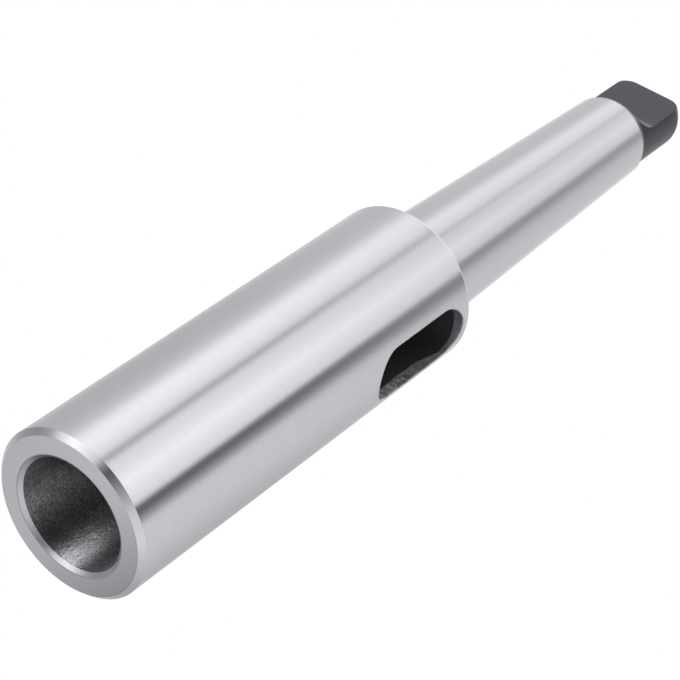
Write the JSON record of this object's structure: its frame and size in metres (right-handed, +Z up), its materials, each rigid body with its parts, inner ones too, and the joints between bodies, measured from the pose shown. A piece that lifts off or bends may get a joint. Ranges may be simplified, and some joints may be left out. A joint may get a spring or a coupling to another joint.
{
  "type": "morse taper extension sleeve",
  "caption": "Steel extension sleeve with a size 4 taper socket, a drift slot through the body and a size 4 taper shank with a driving tang.",
  "frame": {"origin": "centre of the mouth face, which the sleeve stands on", "axes": "+Z up the axis from the socket's mouth to the tang, Y through the drift slot, X across the flats of the tang"},
  "size_m": [0.0465, 0.0464, 0.2685],
  "materials": {
    "ground_steel": "ground bright all over, with a blackened tang, slot and bore"
  },
  "bodies": {
    "root": {"taper_sleeve": "ground_steel"}
  },
  "joints": []
}
